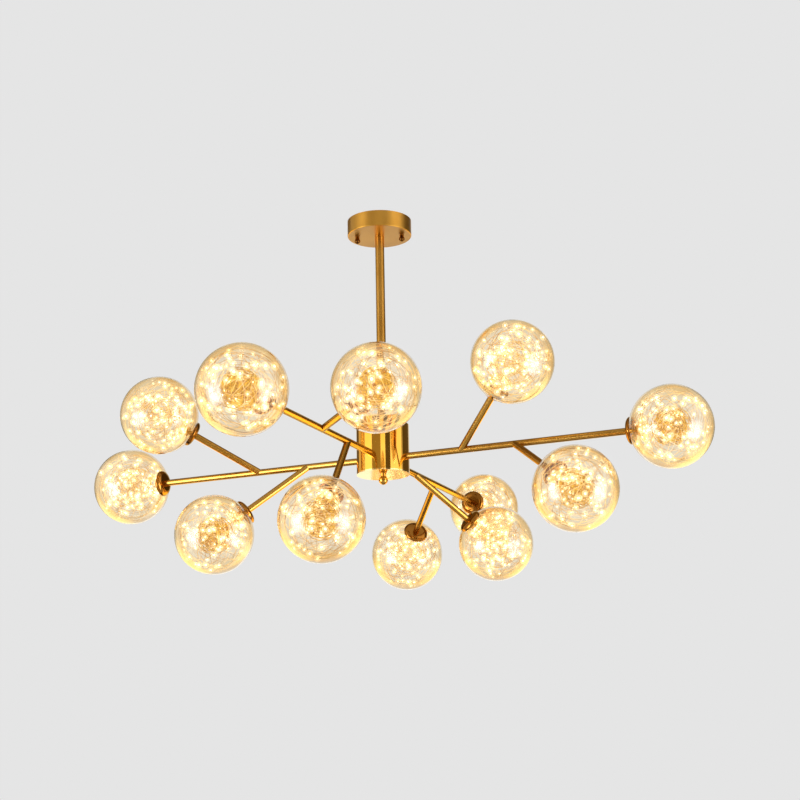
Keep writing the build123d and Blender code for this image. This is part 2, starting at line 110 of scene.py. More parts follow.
class Sock:
    """A node's output that takes part in Python arithmetic."""

    def __init__(self, graph: Graph, socket: bpy.types.NodeSocket) -> None:
        """Keeps the socket and the graph that it belongs to."""
        self.graph = graph
        self.socket = socket

    def _math(self, operation: str, first: Any, second: Any) -> Sock:
        """Adds one Math node on two values or sockets."""
        return self.graph.node("ShaderNodeMath", {"operation": operation}, {0: first, 1: second})

    def __add__(self, other: Any) -> Sock:
        """Sum."""
        return self._math("ADD", self, other)

    def __radd__(self, other: Any) -> Sock:
        """Sum, with the number first."""
        return self._math("ADD", other, self)

    def __sub__(self, other: Any) -> Sock:
        """Difference."""
        return self._math("SUBTRACT", self, other)

    def __rsub__(self, other: Any) -> Sock:
        """Difference, with the number first."""
        return self._math("SUBTRACT", other, self)

    def __mul__(self, other: Any) -> Sock:
        """Product."""
        return self._math("MULTIPLY", self, other)

    def __rmul__(self, other: Any) -> Sock:
        """Product, with the number first."""
        return self._math("MULTIPLY", other, self)

    def least(self, other: Any) -> Sock:
        """Smaller of the two."""
        return self._math("MINIMUM", self, other)


class Graph:
    """A node tree, shader or geometry, that is filled by one node-making method."""

    def __init__(self, tree: bpy.types.NodeTree) -> None:
        """Keeps the tree."""
        self.tree = tree

    def node(
        self,
        kind: str,
        settings: dict[str, Any] | None = None,
        inputs: dict[int | str, Any] | None = None,
        output: int | str = 0,
    ) -> Sock:
        """Adds a node.

        Args:
            kind: Blender's name of the node's type.
            settings: attributes to set first; "stops" fills a colour ramp from (place, colour)
                pairs.
            inputs: values, sockets or materials by the input's name or number.
            output: which of the node's outputs to return.

        Returns:
            The chosen output, ready for arithmetic. A node without outputs gives an empty one.
        """
        made = self.tree.nodes.new(kind)
        for name, value in (settings or {}).items():
            if name == "stops":
                self._fill_ramp(made.color_ramp, value)
            else:
                setattr(made, name, value)
        for name, value in (inputs or {}).items():
            if isinstance(value, Sock):
                self.tree.links.new(value.socket, made.inputs[name])
            else:
                made.inputs[name].default_value = value
        return Sock(self, made.outputs[output] if len(made.outputs) else None)

    def noise(self, place: Sock, scale: float, detail: float) -> Sock:
        """Adds a noise texture over a place, as a value from 0 to 1."""
        inputs = {"Vector": place, "Scale": scale, "Detail": detail}
        return self.node("ShaderNodeTexNoise", None, inputs)

    def ramp(self, value: Sock, stops: list[tuple[float, Colour]]) -> Sock:
        """Adds a colour ramp over a value."""
        return self.node("ShaderNodeValToRGB", {"stops": stops}, {"Fac": value})

    def bump(self, height: Sock, strength: float, distance: float) -> Sock:
        """Adds a bump from a height, for a Normal input."""
        inputs = {"Height": height, "Strength": strength, "Distance": distance}
        return self.node("ShaderNodeBump", None, inputs)

    def surface(self, inputs: dict[int | str, Any]) -> None:
        """Ends a shader graph in one principled surface."""
        surface = self.node("ShaderNodeBsdfPrincipled", None, inputs)
        self.node("ShaderNodeOutputMaterial", None, {"Surface": surface})

    @staticmethod
    def _fill_ramp(ramp: bpy.types.ColorRamp, stops: list[tuple[float, Colour]]) -> None:
        """Sets a ramp's stops.

        Args:
            ramp: the ramp to fill.
            stops: (place, colour) pairs, in rising order.
        """
        while len(ramp.elements) < len(stops):
            ramp.elements.new(1.0)
        for element, (place, colour) in zip(ramp.elements, stops):
            element.position = place
            element.color = (*colour, 1.0)


def new_shader(name: str) -> tuple[bpy.types.Material, Graph]:
    """Makes an empty node material.

    Args:
        name: the material's name.

    Returns:
        The material and its graph.
    """
    material = bpy.data.materials.new(name)
    material.use_nodes = True
    material.node_tree.nodes.clear()
    return material, Graph(material.node_tree)


# The usual screen curve: straight up to the knee, then a power of the shifted value
FULL_CHANNEL = 255
CURVE_KNEE = 0.04045
CURVE_SLOPE = 12.92
CURVE_SHIFT = 0.055
CURVE_POWER = 2.4


def linear_channel(value: int) -> float:
    """Turns one channel of a screen colour, 0 to 255, into linear light.

    Args:
        value: the channel's value.

    Returns:
        Its light, from 0 to 1.
    """
    share = value / FULL_CHANNEL
    if share <= CURVE_KNEE:
        return share / CURVE_SLOPE
    return ((share + CURVE_SHIFT) / (1 + CURVE_SHIFT)) ** CURVE_POWER


def linear(red: int, green: int, blue: int) -> Colour:
    """Turns a screen colour of 0 to 255 a channel into linear light."""
    return linear_channel(red), linear_channel(green), linear_channel(blue)


# Middle value of a noise texture
NOISE_MIDDLE = 0.5

# Line scales of metal: even grain, fine or coarse, and lines round a turned or down a drawn piece
FINE_GRAIN: Scale = (1800.0, 1800.0, 1800.0)
COARSE_GRAIN: Scale = (500.0, 500.0, 500.0)
LINES_ROUND: Scale = (30.0, 30.0, 2400.0)
LINES_DOWN: Scale = (2400.0, 2400.0, 30.0)


@dataclass(frozen=True)
class MetalFinish:
    """Turned or drawn metal: a colour that drifts a little, and fine lines left by brush or lathe.

    The lines run along the axes of small line_scale.
    """

    name: str
    light: Colour
    dark: Colour
    roughness: float
    roughness_spread: float
    line_scale: Scale = FINE_GRAIN
    line_detail: float = 3.0
    line_depth: float = 0.000004
    line_strength: float = 0.25
    drift_scale: float = 14.0
    drift_detail: float = 4.0
    drift_span: Span = (0.35, 0.65)
    edge_tint: Colour = (1.0, 0.92, 0.62)

    def material(self) -> bpy.types.Material:
        """Builds the shader.

        Returns:
            The finished material.
        """
        material, graph = new_shader(self.name)
        place = graph.node("ShaderNodeTexCoord", output="Object")
        stretch = {"Vector": place, "Scale": self.line_scale}
        stretched = graph.node("ShaderNodeMapping", None, stretch)
        drift = graph.noise(place, self.drift_scale, self.drift_detail)
        lines = graph.noise(stretched, 1.0, self.line_detail)
        rough = self.roughness + (lines + drift - 2 * NOISE_MIDDLE) * self.roughness_spread
        graph.surface({
            "Base Color": graph.ramp(drift, list(zip(self.drift_span, (self.dark, self.light)))),
            "Metallic": 1.0,
            "Roughness": rough,
            "Specular Tint": (*self.edge_tint, 1.0),
            "Normal": graph.bump(lines, self.line_strength, self.line_depth),
        })
        return material


@dataclass(frozen=True)
class MouldedFinish:
    """Moulded plastic or sheath: a soft grain and a slight unevenness of colour."""

    name: str
    light: Colour
    dark: Colour
    roughness: float
    roughness_spread: float = 0.15
    grain_scale: float = 900.0
    grain_depth: float = 0.00005
    grain_strength: float = 0.3
    cloud_scale: float = 60.0
    cloud_span: Span = (0.3, 0.7)
    detail: float = 2.0
    gloss: float = 0.5

    def material(self) -> bpy.types.Material:
        """Builds the shader.

        Returns:
            The finished material.
        """
        material, graph = new_shader(self.name)
        place = graph.node("ShaderNodeTexCoord", output="Object")
        grain = graph.noise(place, self.grain_scale, self.detail)
        cloud = graph.noise(place, self.cloud_scale, self.detail)
        graph.surface({
            "Base Color": graph.ramp(cloud, list(zip(self.cloud_span, (self.dark, self.light)))),
            "Roughness": self.roughness + (grain - NOISE_MIDDLE) * self.roughness_spread,
            "Specular IOR Level": self.gloss,
            "Normal": graph.bump(grain, self.grain_strength, self.grain_depth),
        })
        return material


@dataclass(frozen=True)
class GlassFinish:
    """Blown glass, slightly wavy, with a champagne tint.

    The tint turns to gold where the wall is seen edge on. It is cloudy, so the gold reaches
    further in at some places than at others. The glass also gives off a faint painted glow of
    warm light of its own.
    further in at some places than at others.
    """

    name: str = "champagne_glass"
    tint: Colour = (0.985, 0.925, 0.80)
    edge_tint: Colour = (0.97, 0.76, 0.43)
    rim_tint: Colour = (0.95, 0.58, 0.20)
    tint_span: tuple[float, float, float] = (0.30, 0.58, 0.80)
    edge_blend: float = 0.5
    refraction: float = 1.45
    glow: Colour = (1.0, 0.82, 0.50)
    painted_glow_strength: float = 0.012
    wave_scale: float = 26.0
    wave_depth: float = 0.0006
    wave_strength: float = 0.2
    cloud_scale: float = 24.0
    cloud_reach: float = 1.0
    detail: float = 1.0

    def material(self) -> bpy.types.Material:
        """Builds the shader.

        Returns:
            The finished material.
        """
        material, graph = new_shader(self.name)
        place = graph.node("ShaderNodeTexCoord", output="Object")
        waves = graph.noise(place, self.wave_scale, self.detail)
        blend = {"Blend": self.edge_blend}
        edge_on = graph.node("ShaderNodeLayerWeight", None, blend, output="Facing")
        cloud = graph.noise(place, self.cloud_scale, self.detail)
        tints = list(zip(self.tint_span, (self.tint, self.edge_tint, self.rim_tint)))
        graph.surface({
            "Base Color": graph.ramp(edge_on + (cloud - NOISE_MIDDLE) * self.cloud_reach, tints),
            "Roughness": 0.0,
            "IOR": self.refraction,
            "Transmission Weight": 1.0,
            # Painted light: the glass gives off a faint warm glow of its own
            "Emission Color": (*self.glow, 1.0),
            "Emission Strength": self.painted_glow_strength,
            "Normal": graph.bump(waves, self.wave_strength, self.wave_depth),
        })
        return material


@dataclass(frozen=True)
class GlowFinish:
    """Something lit: a surface of its own colour, with an uneven glow.

    The glow drifts along the wire. A drift_scale of 0 gives each loose piece a glow of its own
    instead. On a chip the glow is the lamp's own light. On a wire it is painted light, which stands
    in for the light of the chips falling on the wire. On a drop of clear resin it is partly the lit
    resin and partly a painted halo of light round the chip.
    """

    name: str
    base: Colour
    metallic: float
    roughness: float
    glow: Colour
    glow_low: Colour
    strength: float
    drift_scale: float
    opacity: float = 1.0
    drift_detail: float = 2.0
    drift_span: Span = (0.42, 0.60)
    piece_span: Span = (0.0, 0.7)

    def material(self) -> bpy.types.Material:
        """Builds the shader.

        Returns:
            The finished material.
        """
        material, graph = new_shader(self.name)
        if self.drift_scale:
            place = graph.node("ShaderNodeTexCoord", output="Object")
            share = graph.noise(place, self.drift_scale, self.drift_detail)
            span = self.drift_span
        else:
            share = graph.node("ShaderNodeNewGeometry", output="Random Per Island")
            span = self.piece_span
        # Emission: the lamp's own light on a chip, painted light on a wire, partly a painted halo
        # on a drop
        graph.surface({
            "Base Color": (*self.base, 1.0),
            "Metallic": self.metallic,
            "Roughness": self.roughness,
            "Emission Color": graph.ramp(share, list(zip(span, (self.glow_low, self.glow)))),
            "Emission Strength": self.strength,
            "Alpha": self.opacity,
        })
        material.cycles.emission_sampling = "NONE"
        return material


class Finish(Enum):
    """Every finish of the chandelier."""

    SPUN_BRASS = MetalFinish(
        "spun_brass",
        linear(182, 133, 55),
        linear(168, 118, 44),
        roughness=0.33,
        roughness_spread=0.10,
        line_scale=LINES_ROUND,
        edge_tint=(1.0, 0.98, 0.88),
    )
    STEM_BRASS = MetalFinish(
        "stem_brass",
        linear(168, 122, 54),
        linear(154, 108, 42),
        roughness=0.34,
        roughness_spread=0.10,
        line_scale=LINES_DOWN,
    )
    TUBE_BRASS = MetalFinish(
        "tube_brass",
        linear(182, 136, 62),
        linear(166, 118, 46),
        roughness=0.24,
        roughness_spread=0.04,
        line_scale=COARSE_GRAIN,
        line_depth=0.000001,
    )
    HUB_BRASS = MetalFinish(
        "hub_brass",
        linear(222, 168, 72),
        linear(210, 152, 56),
        roughness=0.07,
        roughness_spread=0.04,
        line_scale=LINES_ROUND,
        edge_tint=(1.0, 0.97, 0.82),
    )
    PLATE_BRASS = MetalFinish(
        "plate_brass",
        linear(238, 208, 148),
        linear(226, 192, 128),
        roughness=0.12,
        roughness_spread=0.04,
        edge_tint=(1.0, 0.98, 0.88),
    )
    CUP_BRASS = MetalFinish(
        "cup_brass",
        linear(168, 110, 42),
        linear(122, 74, 24),
        roughness=0.10,
        roughness_spread=0.06,
    )
    HOLDER_BRASS = MetalFinish(
        "holder_brass",
        linear(236, 184, 92),
        linear(222, 166, 74),
        roughness=0.5,
        roughness_spread=0.10,
    )
    # Painted shade: the ball nuts' brass is made dark to stand in for the shade and the dark
    # reflection of the canopy's underside that they show
    DARK_BRASS = MetalFinish(
        "shaded_brass",
        linear(92, 54, 18),
        linear(66, 36, 12),
        roughness=0.20,
        roughness_spread=0.06,
    )
    STEEL = MetalFinish(
        "plated_steel",
        linear(196, 196, 198),
        linear(168, 168, 170),
        roughness=0.34,
        roughness_spread=0.12,
        edge_tint=(1.0, 1.0, 1.0),
    )
    WHITE_PLASTIC = MouldedFinish(
        "terminal_plastic", linear(238, 236, 230), linear(224, 221, 213), roughness=0.45
    )
    BLACK_PLASTIC = MouldedFinish(
        "driver_plastic", linear(58, 58, 60), linear(42, 42, 45), roughness=0.5
    )
    SHEATH = MouldedFinish(
        "cable_sheath", linear(214, 182, 122), linear(196, 160, 98), roughness=0.35
    )
    GLASS = GlassFinish()
    # The wires' glow is painted light, standing in for the light of the chips falling on them
    LOOP_WIRE = GlowFinish(
        "lit_wire",
        linear(204, 156, 80),
        metallic=1.0,
        roughness=0.3,
        glow=(1.0, 0.89, 0.60),
        glow_low=(0.14, 0.085, 0.02),
        strength=0.90,
        drift_scale=30.0,
    )
    WEB_WIRE = GlowFinish(
        "warm_wire",
        linear(204, 152, 68),
        metallic=1.0,
        roughness=0.3,
        glow=(1.0, 0.81, 0.38),
        glow_low=(0.14, 0.085, 0.016),
        strength=1.0,
        drift_scale=30.0,
    )
    KNOT_WIRE = GlowFinish(
        "gold_wire",
        linear(204, 154, 38),
        metallic=1.0,
        roughness=0.20,
        glow=(0.98, 0.74, 0.11),
        glow_low=(0.06, 0.038, 0.002),
        strength=0.50,
        drift_scale=150.0,
    )
    DEEP_WIRE = GlowFinish(
        "deep_wire",
        linear(208, 158, 34),
        metallic=1.0,
        roughness=0.20,
        glow=(1.0, 0.72, 0.07),
        glow_low=(0.10, 0.06, 0.002),
        strength=0.60,
        drift_scale=150.0,
    )
    LOOSE_WIRE = GlowFinish(
        "loose_wire",
        linear(222, 182, 84),
        metallic=1.0,
        roughness=0.25,
        glow=(0.98, 0.77, 0.36),
        glow_low=(0.26, 0.16, 0.03),
        strength=0.42,
        drift_scale=150.0,
    )
    CHIP = GlowFinish(
        "lit_chip",
        linear(255, 246, 220),
        metallic=0.0,
        roughness=0.2,
        glow=(1.0, 0.94, 0.72),
        glow_low=(1.0, 0.86, 0.50),
        strength=3.2,
        drift_scale=0.0,
    )
    # Drop of clear resin round each chip: partly the lit resin, partly a painted halo of light
    DROP = GlowFinish(
        "resin_drop_halo",
        linear(255, 246, 226),
        metallic=0.0,
        roughness=0.15,
        glow=(1.0, 0.91, 0.66),
        glow_low=(1.0, 0.83, 0.46),
        strength=1.0,
        drift_scale=0.0,
        opacity=0.22,
    )


@cache
def material_of(finish: Finish) -> bpy.types.Material:
    """Builds a finish's material the first time that it is asked for."""
    return finish.value.material()


def lathe_mesh(name: str, profile: Profile, segments: int, place: Matrix) -> bpy.types.Mesh:
    """Turns a closed profile that starts and ends on the axis into a smooth mesh.

    Args:
        name: the mesh's name.
        profile: (radius, height) points in order; the first and last have radius 0.
        segments: steps around the axis.
        place: frame of the axis, with Z along it.

    Returns:
        A closed mesh with its normals outward.
    """
    points: list[Vector] = [place @ Vector((0.0, 0.0, profile[0][1]))]
    rings = profile[1:-1]
    for radius, height in rings:
        for step in range(segments):
            angle = math.tau * step / segments
            point = Vector((radius * math.cos(angle), radius * math.sin(angle), height))
            points.append(place @ point)
    points.append(place @ Vector((0.0, 0.0, profile[-1][1])))
    last = len(points) - 1
    faces: list[tuple[int, ...]] = []
    for step in range(segments):
        after = (step + 1) % segments
        faces.append((0, 1 + step, 1 + after))
        for ring in range(len(rings) - 1):
            low, high = 1 + ring * segments, 1 + (ring + 1) * segments
            faces.append((low + step, high + step, high + after, low + after))
        low = 1 + (len(rings) - 1) * segments
        faces.append((low + step, last, low + after))
    mesh = bpy.data.meshes.new(name)
    mesh.from_pydata(points, [], faces)
    mesh.polygons.foreach_set("use_smooth", [True] * len(mesh.polygons))
    mesh.update()
    return mesh


def add_piece(name: str, mesh: bpy.types.Mesh, body: str, slot: str, *replaced: str) -> None:
    """Adds a finished piece to the scene and ties it to the frame.

    Args:
        name: the piece's name.
        mesh: its mesh, dressed.
        body: the body that it rides on.
        slot: the record's material slot for it; not used.
        replaced: the solids that it stands for.
    """
    piece = bpy.data.objects.new(name, mesh)
    bpy.context.scene.collection.objects.link(piece)
    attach(piece, body)
    if replaced:
        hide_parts(*replaced)
    LOG.info("piece %s rides on %s, %d faces", name, body, len(mesh.polygons))


def dress(node: str, finish: Finish) -> None:
    """Gives one solid its finish.

    Args:
        node: the solid's name.
        finish: its finish.
    """
    slots = bpy.data.objects[node].data.materials
    slots.clear()
    slots.append(material_of(finish))
    LOG.info("solid %s is dressed in %s", node, finish.value.name)


@dataclass
class Globe:
    """One blown glass ball with a short neck inside its cup."""

    radius: float = 0.060
    wall: float = 0.002
    neck_radius: float = 0.015
    neck_end: float = -0.06129
    lip: float = 0.0007
    segments: int = 96
    arc_steps: int = 56

    def profile(self) -> Profile:
        """Outline of the glass, from the outer pole round the neck to the inner pole.

        Returns:
            (radius, height) points about the globe's centre, with the neck downwards.
        """
        inner_radius = self.radius - self.wall
        inner_neck = self.neck_radius - self.wall
        outer_stop = math.pi - math.asin(self.neck_radius / self.radius)
        inner_stop = math.pi - math.asin(inner_neck / inner_radius)
        points: Profile = []
        for step in range(self.arc_steps + 1):
            angle = outer_stop * step / self.arc_steps
            points.append((self.radius * math.sin(angle), self.radius * math.cos(angle)))
        points.append((self.neck_radius, self.neck_end + self.lip))
        points.append((self.neck_radius - self.lip, self.neck_end))
        points.append((inner_neck + self.lip, self.neck_end))
        points.append((inner_neck, self.neck_end + self.lip))
        for step in reversed(range(self.arc_steps + 1)):
            angle = inner_stop * step / self.arc_steps
            points.append((inner_radius * math.sin(angle), inner_radius * math.cos(angle)))
        return points

    def build(self, name: str, place: Matrix) -> None:
        """Builds and dresses the globe in its cup.

        Args:
            name: the solid that it stands for, which is also its body.
            place: frame at the globe's centre, with Z away from the cup.
        """
        mesh = lathe_mesh(f"{name}_glass", self.profile(), self.segments, place)
        mesh.materials.append(material_of(Finish.GLASS))
        add_piece(f"{name}_glass", mesh, name, "clear_glass", name)


class CurveTree:
    """Geometry Nodes that make something along every spline of a curve."""

    KINDS: dict[type, str] = {
        float: "NodeSocketFloat",
        int: "NodeSocketInt",
        bpy.types.Material: "NodeSocketMaterial",
    }

    def __init__(self, name: str, inputs: dict[str, type]) -> None:
        """Opens the tree.

        Args:
            name: the tree's name.
            inputs: the kinds of its named inputs, besides the curve.
        """
        self.tree = bpy.data.node_groups.new(name, "GeometryNodeTree")
        interface = self.tree.interface
        interface.new_socket("Curve", in_out="INPUT", socket_type="NodeSocketGeometry")
        for label, kind in inputs.items():
            interface.new_socket(label, in_out="INPUT", socket_type=self.KINDS[kind])
        interface.new_socket("Geometry", in_out="OUTPUT", socket_type="NodeSocketGeometry")
        self.graph = Graph(self.tree)
        start = self.graph.node("NodeGroupInput").socket.node
        self.given = {socket.name: Sock(self.graph, socket) for socket in start.outputs}

    def close(self, shape: Sock) -> None:
        """Ends the tree: instances made real, smooth shading and the finish.

        Args:
            shape: the geometry so far.
        """
        node = self.graph.node
        real = node("GeometryNodeRealizeInstances", None, {"Geometry": shape})
        smooth = node("GeometryNodeSetShadeSmooth", None, {"Geometry": real})
        finish = {"Geometry": smooth, "Material": self.given["Finish"]}
        dressed = node("GeometryNodeSetMaterial", None, finish)
        node("NodeGroupOutput", None, {"Geometry": dressed})

    def grow(self, curve: bpy.types.Object, values: dict[str, Any], name: str) -> bpy.types.Mesh:
        """Runs the tree on a curve object and keeps the result as a plain mesh.

        Args:
            curve: the object that carries the splines.
            values: the tree's inputs by name.
            name: the new mesh's name.

        Returns:
            The mesh, with its material.
        """
        modifier = curve.modifiers.new(self.tree.name, "NODES")
        modifier.node_group = self.tree
        items = self.tree.interface.items_tree
        keys = {item.name: item.identifier for item in items if item.in_out == "INPUT"}
        for label, value in values.items():
            modifier[keys[label]] = value
        bpy.context.view_layer.update()
        evaluated = curve.evaluated_get(bpy.context.evaluated_depsgraph_get())
        mesh = bpy.data.meshes.new_from_object(evaluated)
        mesh.name = name
        curve.modifiers.remove(modifier)
        return mesh


class WindingTree(CurveTree):
    """Draws a round wire along the curve."""

    def __init__(self) -> None:
        """Builds the tree."""
        inputs = {"Wire Radius": float, "Sides": int, "Finish": bpy.types.Material}
        super().__init__("wire_winding", inputs)
        section = {"Resolution": self.given["Sides"], "Radius": self.given["Wire Radius"]}
        ring = self.graph.node("GeometryNodeCurvePrimitiveCircle", None, section)
        swept = {"Curve": self.given["Curve"], "Profile Curve": ring, "Fill Caps": True}
        self.close(self.graph.node("GeometryNodeCurveToMesh", None, swept))


class BeadTree(CurveTree):
    """Strings small drops of differing size along the curve."""

    SUBDIVISIONS = 2
    # Numbers of the random node's sockets for plain numbers
    LEAST, MOST, VALUE = 2, 3, 1

    def __init__(self) -> None:
        """Builds the tree."""
        sizes = {label: float for label in ("Bead Radius", "Stretch", "Spacing", "Size Spread")}
        super().__init__("light_beads", {**sizes, "Seed": int, "Finish": bpy.types.Material})
        node, given = self.graph.node, self.given
        along = {"Curve": given["Curve"], "Length": given["Spacing"]}
        points = node("GeometryNodeCurveToPoints", {"mode": "LENGTH"}, along)
        turn = Sock(self.graph, points.socket.node.outputs["Rotation"])
        ball = {"Radius": given["Bead Radius"], "Subdivisions": self.SUBDIVISIONS}
        drop = node("GeometryNodeMeshIcoSphere", None, ball)
        spread = {
            self.LEAST: 1.0 - given["Size Spread"],
            self.MOST: 1.0 + given["Size Spread"],
            "Seed": given["Seed"],
        }
        size = node("FunctionNodeRandomValue", {"data_type": "FLOAT"}, spread, output=self.VALUE)
        scale = node("ShaderNodeCombineXYZ", None, {0: size, 1: size, 2: size * given["Stretch"]})
        strung = {"Points": points, "Instance": drop, "Rotation": turn, "Scale": scale}
        self.close(node("GeometryNodeInstanceOnPoints", None, strung))


@dataclass(frozen=True)
class Winding:
    """A ball of loops whose plane leans, swings and drifts as the loops grow outwards.

    Angles are in degrees. The radius grows by the power growth of the share of loops wound.
    """

    loops: int
    inner_radius: float
    outer_radius: float
    tilt: float
    tilt_swing: float
    swing_per_turn: float
    drift_per_turn: float
    points_per_turn: int
    growth: float = 1.0

    def point(self, turns: float) -> Vector:
        """Point of the wire after a number of turns.

        Args:
            turns: how many turns are wound.

        Returns:
            The point about the middle of the winding.
        """
        share = (turns / self.loops) ** self.growth
        radius = self.inner_radius + (self.outer_radius - self.inner_radius) * share
        lean = self.tilt + self.tilt_swing * math.sin(math.tau * self.swing_per_turn * turns)
        around = math.tau * turns
        flat = Vector((radius * math.cos(around), radius * math.sin(around), 0.0))
        leaning = Matrix.Rotation(math.radians(lean), 3, "X") @ flat
        return Matrix.Rotation(math.radians(self.drift_per_turn * turns), 3, "Z") @ leaning

    def route(self) -> list[Vector]:
        """Points of the whole winding, from the innermost loop out."""
        steps = self.loops * self.points_per_turn
        return [self.point(step / self.points_per_turn) for step in range(steps + 1)]


@dataclass(frozen=True)
class Strand:
    """One winding of a light string, with its wire and how far apart its lights are.

    Packing says which strings have it. Its middle lies on the globe's axis, that far above the
    globe's centre.
    """

    name: str
    winding: Winding
    wire_radius: float
    wire: Finish
    spacing: float
    packing: Packing = Packing.ANY
    middle: float = 0.0


@dataclass
class LightString:
    """The lit wire of one globe, whose glow is painted light of its chips.

    Every string has a loose ball of loops, a web by the glass and a collar round the lampholder.
    In the middle it has a tight knot, with a denser heart in a few globes, or a loose tangle.
    Every light is a bright chip, which is the lamp, in a larger drop of clear resin that glows
    faintly: partly the lit resin, partly a painted halo of light.
    """

    strands: tuple[Strand, ...] = (
        Strand(
            "ball",
            Winding(
                loops=16,
                inner_radius=0.012,
                outer_radius=0.0520,
                tilt=50.0,
                tilt_swing=14.0,
                swing_per_turn=0.37,
                drift_per_turn=97.0,
                points_per_turn=40,
            ),
            wire_radius=0.00026,
            wire=Finish.LOOP_WIRE,
            spacing=0.100,
        ),
        Strand(
            "web",
            Winding(
                loops=18,
                inner_radius=0.047,
                outer_radius=0.0560,
                tilt=61.0,
                tilt_swing=25.0,
                swing_per_turn=0.23,
                drift_per_turn=133.0,
                points_per_turn=40,
            ),
            wire_radius=0.00026,
            wire=Finish.WEB_WIRE,
            spacing=0.150,
        ),
        Strand(
            "knot",
            Winding(
                loops=44,
                inner_radius=0.004,
                outer_radius=0.0290,
                tilt=62.0,
                tilt_swing=26.0,
                swing_per_turn=0.29,
                drift_per_turn=71.0,
                points_per_turn=20,
                growth=0.62,
            ),
            wire_radius=0.00050,
            wire=Finish.KNOT_WIRE,
            spacing=0.36,
            packing=Packing.TIGHT,
        ),
        Strand(
            "heart",
            Winding(
                loops=30,
                inner_radius=0.003,
                outer_radius=0.0270,
                tilt=66.0,
                tilt_swing=22.0,
                swing_per_turn=0.41,
                drift_per_turn=59.0,
                points_per_turn=20,
                growth=0.6,
            ),
            wire_radius=0.00050,
            wire=Finish.DEEP_WIRE,
            spacing=0.60,
            packing=Packing.DENSE,
        ),
        Strand(
            "tangle",
            Winding(
                loops=24,
                inner_radius=0.006,
                outer_radius=0.0420,
                tilt=58.0,
                tilt_swing=28.0,
                swing_per_turn=0.31,
                drift_per_turn=83.0,
                points_per_turn=24,
                growth=0.6,
            ),
            wire_radius=0.0003,
            wire=Finish.LOOSE_WIRE,
            spacing=0.18,
            packing=Packing.LOOSE,
        ),
        Strand(
            "collar",
            Winding(
                loops=12,
                inner_radius=0.010,
                outer_radius=0.0165,
                tilt=9.0,
                tilt_swing=5.0,
                swing_per_turn=0.31,
                drift_per_turn=47.0,
                points_per_turn=24,
            ),
            wire_radius=0.0004,
            wire=Finish.LOOSE_WIRE,
            spacing=0.055,
            middle=-0.0405,
        ),
    )
    wire_sides: int = 5
    entry: float = -0.04689
    bend_share: float = 0.5
    chip_radius: float = 0.0013
    drop_radius: float = 0.0038
    drop_stretch: float = 1.25
    size_spread: float = 0.35
    seed: int = 11

    def route(self, strand: Strand) -> list[Vector]:
        """Route of a strand, which leaves the lampholder and bends on its way to the first loop.

        Args:
            strand: the strand to route.

        Returns:
            Its points about the globe's centre.
        """
        middle = Vector((0.0, 0.0, strand.middle))
        points = [middle + point for point in strand.winding.route()]
        start = Vector((0.0, 0.0, self.entry))
        before = Vector((0.0, 0.0, max(self.entry, strand.middle - strand.winding.inner_radius)))
        return [start, before.lerp(points[0], self.bend_share), *points]

    @staticmethod
    def curve(name: str, places: list[Matrix], route: list[Vector]) -> bpy.types.Object:
        """Draws one route at several globes, as the splines of a curve.

        Args:
            name: the curve's name.
            places: frames at the globes' centres.
            route: points about a globe's centre.

        Returns:
            The curve object, for Geometry Nodes to work on.
        """
        data = bpy.data.curves.new(name, "CURVE")
        data.dimensions = "3D"
        for place in places:
            spline = data.splines.new("POLY")
            spline.points.add(len(route) - 1)
            for target, point in zip(spline.points, route):
                target.co = (*(place @ point), 1.0)
        curve = bpy.data.objects.new(name, data)
        bpy.context.scene.collection.objects.link(curve)
        return curve

    def build(
        self, arm: str, places: dict[Packing, list[Matrix]], winder: WindingTree, beader: BeadTree
    ) -> None:
        """Builds the strings of one arm, wire and beads, in place of their solids.

        Args:
            arm: the arm's body.
            places: frames at its globes' centres, by how their strings are wound.
            winder: the tree that draws wire.
            beader: the tree that strings beads.
        """
        for index, strand in enumerate(self.strands):
            if not places[strand.packing]:
                continue
            name = f"{arm}_{strand.name}"
            curve = self.curve(f"{name}_route", places[strand.packing], self.route(strand))
            drawn = {
                "Wire Radius": strand.wire_radius,
                "Sides": self.wire_sides,
                "Finish": material_of(strand.wire),
            }
            wire = winder.grow(curve, drawn, f"{name}_wire")
            # The first strand's wire and drops stand for the arm's plain solids
            solids = (f"{arm}_light_wires", f"{arm}_light_beads") if index == 0 else ()
            add_piece(wire.name, wire, arm, "copper_wire", *solids[:1])
            spread = {
                "Stretch": self.drop_stretch,
                "Spacing": strand.spacing,
                "Size Spread": self.size_spread,
                "Seed": self.seed + index,
            }
            for part, radius, finish in (
                ("drops", self.drop_radius, Finish.DROP),
                ("chips", self.chip_radius, Finish.CHIP),
            ):
                strung = {**spread, "Bead Radius": radius, "Finish": material_of(finish)}
                beads = beader.grow(curve, strung, f"{name}_{part}")
                stood_for = solids[1:] if finish is Finish.DROP else ()
                add_piece(beads.name, beads, arm, "light_bead", *stood_for)
            bpy.data.objects.remove(curve)


